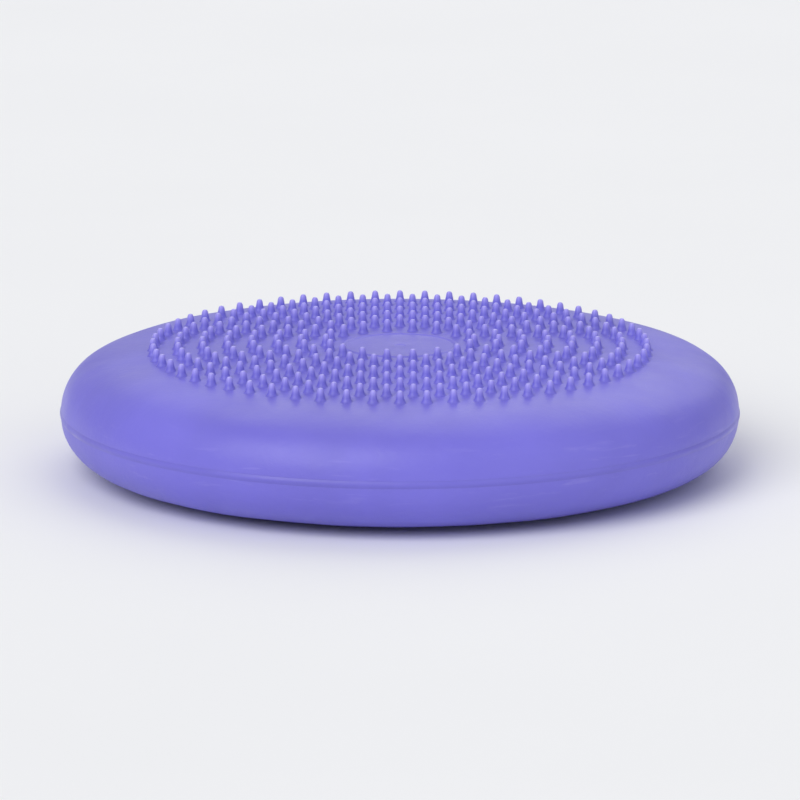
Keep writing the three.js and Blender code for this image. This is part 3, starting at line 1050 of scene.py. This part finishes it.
class CUSHION_OT_strap(Operator):
    """Make the strap that keeps the plug, with an eyelet at each end, and the stud that holds it"""

    bl_idname = "cushion.strap"
    bl_label = "Plug strap"

    def execute(self, context):
        scene = context.scene
        valve, place = scene.cushion_valve, valve_layout(scene)
        at_anchor = round_wall(place, -valve.strap_reach)
        under, over = valve.gap / 3, valve.gap / 3 + valve.strap_thickness
        neck = valve.neck_radius + valve.gap
        at_plug = eyelet(neck, valve.head_radius, place.eyelet_bottom, place.eyelet_top)
        at_stud = eyelet(valve.stud_radius + valve.gap, valve.stud_head - 0.0004, under, over)
        made = piece("strap_fine", strap_band(place, valve))
        combine(made, "UNION", [placed(at_plug, place.frame), placed(at_stud, at_anchor)])
        through = cylinder(valve.stud_radius + valve.gap, -0.002, 0.004)
        combine(made, "DIFFERENCE", [placed(through, at_anchor)])
        pvc = hard_pvc("strap_pvc", scene.cushion_colours.plug, 0.33)
        coat(made, pvc)
        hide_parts("plug_tether")
        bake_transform(made)
        peg_end, under_head = -0.004, over + 0.00015
        head = [
            (0, peg_end),
            (valve.stud_radius - 0.0001, peg_end),
            (valve.stud_radius, under_head),
            (valve.stud_head, under_head),
            (valve.stud_head, over + 0.0006),
            (0.0024, over + 0.00115),
            (0, over + 0.0013),
        ]
        turned_stud = turned(head, 48, corners=[1, 3, 4, 5], corner_round=0.00025)
        stud = piece("strap_stud", placed(turned_stud, at_anchor), pvc)
        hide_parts("plug_tether")
        follow_lower_skin(stud)
        return {"FINISHED"}


# ---------- the stage ----------


def soft_light(name, azimuth, elevation, strength, softness, tint=(1, 1, 1)):
    """A wide, even light from a compass direction, 0 in front and positive to the right."""
    light = bpy.data.lights.new(name, "SUN")
    light.energy = strength
    light.angle = math.radians(softness)
    light.color = tint
    around, up = math.radians(azimuth), math.radians(elevation)
    towards = Vector((math.sin(around) * math.cos(up), -math.cos(around) * math.cos(up), math.sin(up)))
    made = bpy.data.objects.new(name, light)
    made.location = towards * 2
    made.rotation_euler = towards.to_track_quat("Z", "Y").to_euler()
    bpy.context.scene.collection.objects.link(made)


class CUSHION_OT_stage(Operator):
    """Make the floor, the lights and the camera"""

    bl_idname = "cushion.stage"
    bl_label = "Stage"

    def execute(self, context):
        scene = context.scene
        self.make_floor(scene)
        self.make_lights(scene)
        self.make_camera(scene)
        return {"FINISHED"}

    def make_floor(self, scene):
        base = scene.cushion_colours.floor
        material, shader, coords = new_material("floor_paint", base, 0.8)
        clouds = remap(mottle(coords, 3, 3), 0.3, 0.7)
        feed(mix_colour(clouds, tinted(base, 0.985), base), shader, "Base Color")
        mesh = bmesh.new()
        bmesh.ops.create_grid(mesh, x_segments=2, y_segments=2, size=20)
        floor = piece("floor", mesh, material)

    def make_lights(self, scene):
        scene.world = bpy.data.worlds.new("studio")
        scene.world.use_nodes = True
        background = scene.world.node_tree.nodes["Background"]
        background.inputs["Color"].default_value = (0.95, 0.965, 1.0, 1)
        background.inputs["Strength"].default_value = 0.42
        soft_light("key", -35, 40, 1.75, 50)
        soft_light("fill", 55, 25, 0.45, 60, (0.93, 0.96, 1.0))
        soft_light("back", 165, 45, 0.7, 60)
        scene.view_settings.view_transform = "Standard"

    def make_camera(self, scene):
        elevation, distance, share_of_view = math.radians(12.3), 2.8, 0.85
        low, high = CAD_BOX
        width_in_view = (high.x - low.x) / share_of_view
        camera = bpy.data.cameras.new("camera")
        camera.sensor_width = 36
        camera.lens = camera.sensor_width * distance / width_in_view
        camera.clip_end = 50
        made = bpy.data.objects.new("camera", camera)
        aim = Vector((0, 0, (low.z + high.z) / 2))
        away = Vector((0, -math.cos(elevation), math.sin(elevation)))
        made.location = aim + away * distance
        made.rotation_euler = (-away).to_track_quat("-Z", "Y").to_euler()
        scene.collection.objects.link(made)
        scene.camera = made


# ---------- panel and registration ----------

OPERATORS = (
    CUSHION_OT_stage,
    CUSHION_OT_upper_skin,
    CUSHION_OT_spikes,
    CUSHION_OT_lower_skin,
    CUSHION_OT_valve_lip,
    CUSHION_OT_weld_bead,
    CUSHION_OT_valve_socket,
    CUSHION_OT_check_flap,
    CUSHION_OT_plug,
    CUSHION_OT_strap,
)
GROUPS = {"cushion_shell": ShellSizes, "cushion_valve": ValveSizes, "cushion_colours": CushionColours}


class CUSHION_PT_panel(Panel):
    """Sizes, colours and pieces of the cushion"""

    bl_idname = "CUSHION_PT_panel"
    bl_label = "Wobble Cushion"
    bl_space_type = "VIEW_3D"
    bl_region_type = "UI"
    bl_category = "Cushion"

    def draw(self, context):
        for group, kind in GROUPS.items():
            column = self.layout.column(align=True)
            for name in kind.__annotations__:
                column.prop(getattr(context.scene, group), name)
        for operator in OPERATORS:
            self.layout.operator(operator.bl_idname)


CLASSES = (*GROUPS.values(), *OPERATORS, CUSHION_PT_panel)


def register():
    for kind in CLASSES:
        bpy.utils.register_class(kind)
    for group, kind in GROUPS.items():
        setattr(bpy.types.Scene, group, PointerProperty(type=kind))


def unregister():
    for group in GROUPS:
        delattr(bpy.types.Scene, group)
    for kind in reversed(CLASSES):
        bpy.utils.unregister_class(kind)


def main():
    register()
    for operator in OPERATORS:
        getattr(bpy.ops.cushion, operator.bl_idname.split(".")[1])()


if __name__ == "__main__":
    main()
